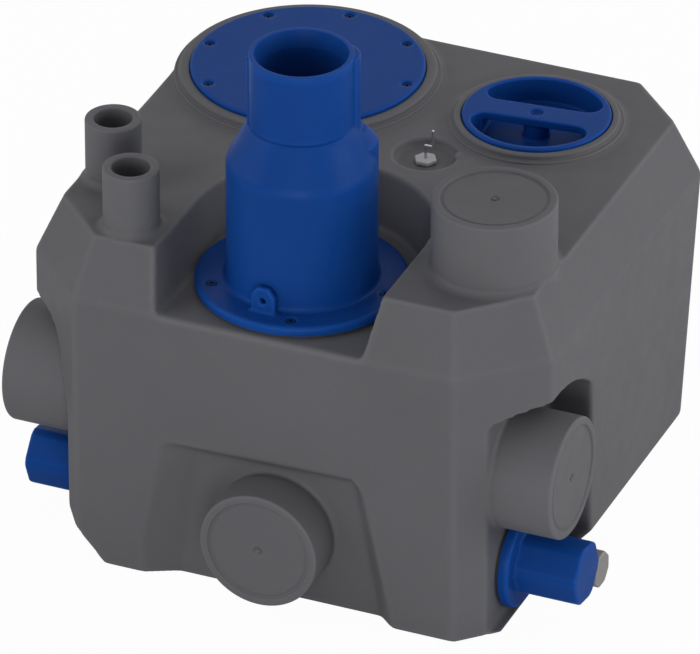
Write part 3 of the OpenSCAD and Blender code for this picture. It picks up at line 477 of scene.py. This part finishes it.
def lathe(profile, origin, x_axis, z_axis, segments):
    """Surface of revolution of a profile (r, z); a last point on the axis closes it."""
    closed = profile[-1][0] < TINY
    rings = profile[:-1] if closed else profile
    x_axis, z_axis = np.array(x_axis, float), np.array(z_axis, float)
    y_axis = np.cross(z_axis, x_axis)
    turn = np.arange(segments) * 2 * math.pi / segments
    circle = np.cos(turn)[:, None] * x_axis + np.sin(turn)[:, None] * y_axis
    co = rings[:, 0, None, None] * circle[None] + rings[:, 1, None, None] * z_axis
    co = co.reshape(-1, 3) * MM + np.array(origin, float)
    j, i = np.meshgrid(np.arange(len(rings) - 1), np.arange(segments), indexing="ij")
    j, i = j.ravel() * segments, i.ravel()
    k = (i + 1) % segments
    up = j + segments
    faces = [np.stack([j + i, j + k, up + k, up + i], 1)]
    if closed:
        top = (len(rings) - 1) * segments
        centre = np.array(origin, float) + profile[-1][1] * MM * z_axis
        co = np.concatenate([co, centre[None]])
        i = np.arange(segments)
        faces.append(np.stack([
            top + i, top + (i + 1) % segments, np.full(segments, len(co) - 1)], 1))
    return co, faces


# ---------------------------------------------------------------- tank

TANK_VOXEL = 0.0023
DECK = 0.321
COVER = (-0.109, 0.115)
CAP = (0.111, 0.115)
ROD = (0.042, 0.025)

# the skin is relaxed less within these radii of the small forms on the deck
FINE_SPOTS = [(COVER, 0.128), (CAP, 0.084), (ROD, 0.036)]
FINE_EDGE = 0.008
FINE_DEPTH = 0.012
FINE_KEEP = 0.85

SPIGOTS = [
    # end point, local x, outward axis, reach in mm
    ((0.260, -0.165, 0.146), (0, 0, -1), (1, 0, 0), 58.5),  # right
    ((-0.260, -0.165, 0.146), (0, 0, 1), (-1, 0, 0), 67.0),  # left
    ((0.007, -0.2705, 0.070), (1, 0, 0), (0, -1, 0), 44.0),  # front
    ((0.170, -0.129, 0.388), (1, 0, 0), (0, 0, 1), 67.0),  # upright
]
SPIGOT_R = 55.0
SPIGOT_SEGMENTS = 160
# skin of a spigot's wall, in metres from its axis; it is wider up to FOOT_H mm above its foot
SKIN_IN, SKIN_OUT, FOOT_OUT, FOOT_H = 0.052, 0.0568, 0.0605, 5.0
SKIN_PAST_END, CUT_PAST_END = 0.004, 0.006
PULL_FROM, PULL_TO = -0.3, 3.2
SPIGOT_CUT_H = 6.0
# hollow fillet at the foot of the upright spigot
ROOT_FILLET = 8.0
ROOT_IN, ROOT_TOP = 0.0535, 7.0
ROOT_FROM, ROOT_TO = -3.0, -0.8

TUBES = [(-0.195, -0.117), (-0.146, -0.189)]
TUBE_R, TUBE_BORE, TUBE_H, TUBE_DEPTH = 25.0, 17.0, 59.0, 12
TUBE_SEGMENTS = 96
TUBE_SKIN_IN, TUBE_SKIN_OUT, TUBE_SKIN_TOP = 0.0215, 0.030, 70
TUBE_PULL_FROM, TUBE_PULL_TO = 2.0, 6.5
# the tube's lathe replaces the skin above CUT_H, and the bore's below it
TUBE_CUT_H, TUBE_CUT_TOP, TUBE_CUT_R = 7.0, 75, 0.0285
BORE_CUT_BOTTOM, BORE_CUT_R = -14, 0.0205

COLLARS = [
    # centre, then in mm: bore, crest and foot radius, height above the deck, seat height,
    # inner radius of the seat
    (COVER, 105.6, 115.25, 119.75, 8.5, 4.0, 97.6),
    (CAP, 67.2, 73.8, 78.5, 8.0, 3.0, 64.6),
]
COLLAR_SEGMENTS = 224
COLLAR_STEP = 3.5  # height of the step at a collar's foot
COLLAR_SKIRT = 40  # depth of its lathe below the deck
COLLAR_UNDER = 1.2  # the skin stays this far below a collar's top,
STEP_UNDER = 2.4  # at most this high over the step at its foot,
SIDE_DRAW = 1.3  # this far inside its side
BORE_DRAW = 1.0  # and this far behind its bore
SIDE_FROM, SIDE_TO = 0.3, 1.8  # heights over which the side is drawn in
COLLAR_MARGIN = (4.0, 2.5, 2.0)  # skin that counts as a collar's: inside, outside and above it
SIDE_MARGIN, SEAT_MARGIN, BORE_MARGIN = 1.0, 1.0, 2.4


def relaxed_tank_skin():
    co, edges, quads = voxel_skin("tank", TANK_VOXEL)
    high = co[:, 2] > DECK - FINE_DEPTH
    fine = np.zeros(len(co))
    for centre, reach in FINE_SPOTS:
        inside = 1.0 - step(axis_distance(co, centre), reach, reach + FINE_EDGE)
        fine = np.maximum(fine, inside * high)
    co = relax(co, edges, 2, RELAX)
    co = relax(co, edges, 2, RELAX * (1.0 - FINE_KEEP * fine))
    return co, quads


def spigot_profile(reach):
    """Side, rim, ring groove, flat face and centre mark of a closed spigot."""
    r, face = SPIGOT_R, SPIGOT_R * 0.86
    groove, flat, mark = -1.7, -1.0, -2.4
    return rounded([
        (r, -reach + 3.0, 0), (r, 0, 2.6), (face + 0.8, 0, 1.4),
        (face, groove, 0.9), (face - 2.2, groove, 0.9), (face - 3.4, flat, 0.9),
        # these rings on the flat face keep the painted edge highlight close to the fillets
        (face - 5.2, flat, 0), (face - 6.6, flat, 0), (8.4, flat, 0), (7.0, flat, 0),
        (4.8, flat, 1.4), (3.2, mark, 0.9), (2.2, mark, 0.8), (1.7, -0.8, 0.6), (0, -0.6, 0),
    ])


def fit_spigot(co, end, axis, reach):
    """Draws the skin to one spigot; also says which points its lathe replaces."""
    rel = co - np.array(end)
    along = rel @ axis
    radial = rel - along[:, None] * axis
    r = np.linalg.norm(radial, axis=1)
    height = along * TO_MM + reach
    skin_out = np.where(height < FOOT_H, FOOT_OUT, SKIN_OUT)
    wall = (r > SKIN_IN) & (r < skin_out) & (height > 0) & (along < SKIN_PAST_END)
    pull = step(height, PULL_FROM, PULL_TO) * wall
    new_r = r + (SPIGOT_R * MM - r) * pull
    co = co + radial * ((new_r / np.maximum(r, TINY) - 1.0) * wall)[:, None]
    if axis[2] > 0.5:
        # a hollow fillet runs from the deck up to the upright spigot
        swept = np.clip(SPIGOT_R + ROOT_FILLET - r * TO_MM, 0.0, ROOT_FILLET)
        rise = ROOT_FILLET - np.sqrt(ROOT_FILLET ** 2 - swept ** 2)
        near = (r > ROOT_IN) & (height < ROOT_TOP)
        lift = np.maximum(rise - height, 0.0) * near * step(height, ROOT_FROM, ROOT_TO)
        co = co + lift[:, None] * axis * MM
    return co, (height > SPIGOT_CUT_H) & (r < SKIN_OUT) & (along < CUT_PAST_END)


def fit_tube(co, centre):
    """The same for one upright tube and its bore."""
    rel = co - np.array((*centre, DECK))
    r = np.hypot(rel[:, 0], rel[:, 1])
    height = rel[:, 2] * TO_MM
    wall = (r > TUBE_SKIN_IN) & (r < TUBE_SKIN_OUT) & (height > 0) & (height < TUBE_SKIN_TOP)
    pull = step(height, TUBE_PULL_FROM, TUBE_PULL_TO) * wall
    scale = (TUBE_R * MM - r) * pull / np.maximum(r, TINY)
    co = co.copy()
    for k in range(2):
        co[:, k] += rel[:, k] * scale
    tube = (height > TUBE_CUT_H) & (height < TUBE_CUT_TOP) & (r < TUBE_CUT_R)
    bore = (height > BORE_CUT_BOTTOM) & (height <= TUBE_CUT_H) & (r < BORE_CUT_R)
    return co, tube | bore


def tube_profile():
    return rounded([
        (TUBE_R, 5.5, 0), (TUBE_R, TUBE_H, 2.4), (TUBE_BORE, TUBE_H, 2.2),
        (TUBE_BORE, -TUBE_DEPTH, 1.0), (21.5, -TUBE_DEPTH, 0)])


def sink_collar(co, centre, inner, crest, foot, top, seat):
    """Draws the skin of one raised collar to just inside its lathe, in place."""
    inside, outside, above = COLLAR_MARGIN
    r = axis_distance(co, centre) * TO_MM
    height = (co[:, 2] - DECK) * TO_MM
    near = (r > inner - inside) & (r < foot + outside) & (height > 0.0) & (height < top + above)
    limit = np.where(r < crest, top - COLLAR_UNDER, STEP_UNDER)
    co[:, 2] = np.where(near, np.minimum(co[:, 2], DECK + limit * MM), co[:, 2])
    side = near & (r > crest + SIDE_MARGIN)
    draw = np.where(side, -SIDE_DRAW * step(height, SIDE_FROM, SIDE_TO), 0.0)
    bore = near & (np.abs(r - inner) < BORE_MARGIN) & (height > seat - SEAT_MARGIN)
    draw = np.where(bore, inner + BORE_DRAW - r, draw)
    scale_about(co, centre, 1.0 + draw / np.maximum(r, TINY))


def collar_profile(inner, crest, foot, top, seat, seat_r):
    seat_top = seat + 0.05
    return rounded([
        (foot - 0.3, -COLLAR_SKIRT, 0), (foot, 0, 0), (foot, COLLAR_STEP, 2.0),
        (crest + 0.6, COLLAR_STEP, 1.8), (crest, top, 2.6), (inner, top, 1.4),
        (inner, seat_top, 0.6), (seat_r, seat_top, 0)])


def tank_parts():
    """Relaxed skin of the tank, with lathes for its spigots, tubes and collars."""
    co, quads = relaxed_tank_skin()
    drop = np.zeros(len(co), bool)
    turned = []
    for end, x_axis, axis, reach in SPIGOTS:
        co, cut = fit_spigot(co, end, np.array(axis, float), reach)
        drop |= cut
        turned.append(lathe(spigot_profile(reach), end, x_axis, axis, SPIGOT_SEGMENTS))
    for centre in TUBES:
        co, cut = fit_tube(co, centre)
        drop |= cut
        turned.append(lathe(tube_profile(), (*centre, DECK), X, Z, TUBE_SEGMENTS))
    for centre, inner, crest, foot, top, seat, seat_r in COLLARS:
        sink_collar(co, centre, inner, crest, foot, top, seat)
        profile = collar_profile(inner, crest, foot, top, seat, seat_r)
        turned.append(lathe(profile, (*centre, DECK), X, Z, COLLAR_SEGMENTS))
    keep = ~drop[quads].all(axis=1)
    return [(co, [quads[keep]])] + turned


finish_piece(build("tank_shell", tank_parts()), "tank")

# ---------------------------------------------------------------- valve body

VALVE = (-0.005, -0.142)
VALVE_VOXEL = 0.0012
VALVE_ROUNDS = 5
# hose neck, in millimetres: heights above the floor, radii, and the wider mouth of its bore
NECK_BASE, NECK_TOP = 431.0, 499.0
NECK_R, BORE_R = 45.5, 38.0
MOUTH, MOUTH_H = 3.2, 16.0
BEAD_PITCH, BEAD_DEPTH = 3.6, 0.09
FIRST_BEAD, LAST_BEAD = 6.0, 10  # first above the base, last below the top
NECK_GROOVE = 1.1
NECK_SEGMENTS = 200
# the skin of the neck is drawn to just inside the lathe
NECK_DRAW, NECK_DRAW_FROM, NECK_DRAW_TO = 1.6, 0.2, 0.9
NECK_UNDER, RIM_MARGIN = 1.2, 1.0
BORE_GAP, BORE_REACH, BORE_FROM = 0.7, 2.6, 10.5


def neck_profile():
    base, top = NECK_BASE, NECK_TOP
    groove_r = NECK_R - NECK_GROOVE
    rings = [(groove_r, base - 2.0, 0), (groove_r, base + 0.9, 0.3), (NECK_R, base + 1.9, 0.4)]
    level = base + FIRST_BEAD
    while level < top - LAST_BEAD:
        rings += [(NECK_R, level, 0.5), (NECK_R - BEAD_DEPTH, level + BEAD_PITCH * 0.5, 0.5)]
        level += BEAD_PITCH
    rings += [
        (NECK_R, top - 8, 0.5), (NECK_R, top, 0.9), (BORE_R + MOUTH, top, 0.8),
        (BORE_R, top - MOUTH_H, 1.0), (BORE_R, base + 10.2, 0)]
    return rounded(rings, steps=3)


def valve_parts():
    """Relaxed skin of the valve body, with a lathe for its hose neck."""
    co, edges, quads = voxel_skin("discharge_valve_body", VALVE_VOXEL)
    co = relax(co, edges, VALVE_ROUNDS, RELAX)
    r = axis_distance(co, VALVE) * TO_MM
    z = co[:, 2] * TO_MM
    low, high = NECK_BASE + NECK_DRAW_FROM, NECK_BASE + NECK_DRAW_TO
    outer = (np.abs(r - NECK_R) < NECK_DRAW) & (z > low)
    inner = (np.abs(r - BORE_R) < BORE_REACH) & (z > NECK_BASE + BORE_FROM)
    target = np.where(outer, NECK_R - NECK_DRAW * step(z, low, high), r)
    flare = MOUTH * np.clip((z - NECK_TOP + MOUTH_H) / MOUTH_H, 0.0, 1.0)
    target = np.where(inner, BORE_R + BORE_GAP + flare, target)
    scale_about(co, VALVE, target / np.maximum(r, TINY))
    limit = NECK_TOP - NECK_UNDER
    rim = (r < NECK_R + RIM_MARGIN) & (z > limit)
    co[:, 2] = np.where(rim, limit * MM, co[:, 2])
    return [(co, [quads]), lathe(neck_profile(), (*VALVE, 0.0), X, Z, NECK_SEGMENTS)]


finish_piece(build("valve_body", valve_parts()), "discharge_valve_body")

# ---------------------------------------------------------------- covers, plugs, small parts

SMOOTH_PIECES = [
    # piece, node, voxel in metres, rounds of relaxing
    ("pump_cover_disc", "pump_cover", 0.0011, 3),
    ("screw_cap", "inspection_cap", 0.0009, 4),
    ("side_plug_right", "plug_right", 0.0010, 8),
    ("side_plug_left", "plug_left", 0.0010, 8),
    ("drain_plug_head", "drain_plug", 0.0008, 6),
    ("rod_guide_head", "rod_guide", 0.0005, 20),
]

for piece, node_name, voxel, rounds in SMOOTH_PIECES:
    skin, skin_edges, skin_quads = voxel_skin(node_name, voxel)
    skin = relax(skin, skin_edges, rounds, RELAX)
    finish_piece(build(piece, [(skin, [skin_quads])]), node_name)

# ---------------------------------------------------------------- floor, world, lamps

FLOOR_HALF = 6
FLOOR_Z = -0.0005
FLOOR_COLOUR = (0.8, 0.8, 0.8)
FLOOR_GLOW = 0.97
AMBIENT = 0.39

LAMPS = [
    # name, azimuth, elevation, watts
    ("front", 15, 3, 52),
    ("right", 95, 8, 39),
    ("left", -60, 30, 24),
    ("back_right", 135, 35, 24),
]
LAMP_TARGET = (0.0, 0.0, 0.2)
LAMP_DISTANCE = 3.2
LAMP_SIZE = 2.0


def make_floor():
    """Floor that glows white for the camera and lets only a faint shadow show."""
    h, z = FLOOR_HALF, FLOOR_Z
    co = np.array([(-h, -h, z), (h, -h, z), (h, h, z), (-h, h, z)], float)
    ob = build("floor", [(co, [np.array([[0, 1, 2, 3]])])])
    material = bpy.data.materials.new("floor")
    tree = Tree(material, "ShaderNodeOutputMaterial")
    matte = tree.add("ShaderNodeBsdfDiffuse", {"Color": FLOOR_COLOUR})
    glow = tree.add("ShaderNodeEmission", {"Color": WHITE, "Strength": 1.0})
    path = tree.add("ShaderNodeLightPath")
    share = tree.combine("MULTIPLY", path.outputs["Is Camera Ray"], FLOOR_GLOW)
    tree.show_mix(share, matte.outputs[0], glow.outputs[0])
    ob.data.materials.append(material)


def make_world():
    """Plain ambient light, with a white background for the camera, mirrors and glass."""
    world = bpy.data.worlds.new("world")
    bpy.context.scene.world = world
    tree = Tree(world, "ShaderNodeOutputWorld")
    soft = tree.add("ShaderNodeBackground", {"Color": WHITE, "Strength": AMBIENT})
    white = tree.add("ShaderNodeBackground", {"Color": WHITE, "Strength": 1.0})
    path = tree.add("ShaderNodeLightPath")
    seen = path.outputs["Is Camera Ray"]
    for ray in ("Is Glossy Ray", "Is Transmission Ray"):
        seen = tree.combine("MAXIMUM", seen, path.outputs[ray])
    tree.show_mix(seen, soft.outputs[0], white.outputs[0])


def make_lamp(name, azimuth, elevation, power):
    """Square area lamp that faces the tank."""
    data = bpy.data.lights.new(name, "AREA")
    data.shape = "SQUARE"
    data.size = LAMP_SIZE
    data.energy = power
    place(data, LAMP_TARGET, azimuth, elevation, LAMP_DISTANCE)


make_floor()
make_world()
for lamp in LAMPS:
    make_lamp(*lamp)

bpy.context.scene.view_settings.view_transform = "Standard"
